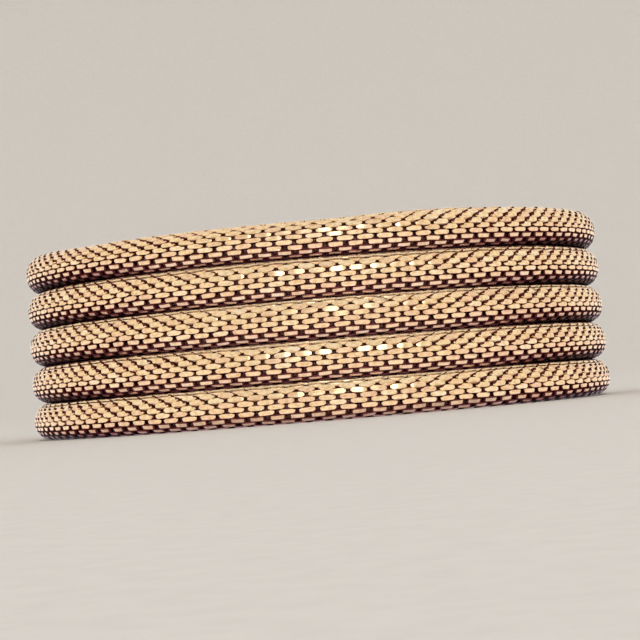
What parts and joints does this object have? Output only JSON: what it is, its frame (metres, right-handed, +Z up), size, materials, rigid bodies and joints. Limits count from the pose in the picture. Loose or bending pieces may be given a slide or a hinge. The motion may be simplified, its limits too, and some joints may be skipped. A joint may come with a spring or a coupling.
{
  "type": "chainmail bracelet",
  "caption": "Wide bracelet of stacked tubular chain-mesh strands in gold tone, each a hollow ring of fine links, joined behind the wrist by a plain curved clasp.",
  "frame": {"origin": "on the bracelet's axis, in the plane of the surface that it lies on", "axes": "+Z up along the axis of the bracelet, the way a hand goes through it; -Y to the front, the middle of the stretch that shows on a wrist; the clasp sits at +Y"},
  "size_m": [0.0668, 0.0668, 0.0209],
  "materials": {
    "link_gold": "polished pale gold links, dark between them",
    "clasp_gold": "brushed pale gold plate",
    "inner_patina": "dull and darkened, on the inner side of the mesh, seen between the links"
  },
  "bodies": {
    "root": {"strand_1": "link_gold", "strand_2": "link_gold", "strand_3": "link_gold", "strand_4": "link_gold", "strand_5": "link_gold", "clasp": "clasp_gold"}
  },
  "joints": []
}
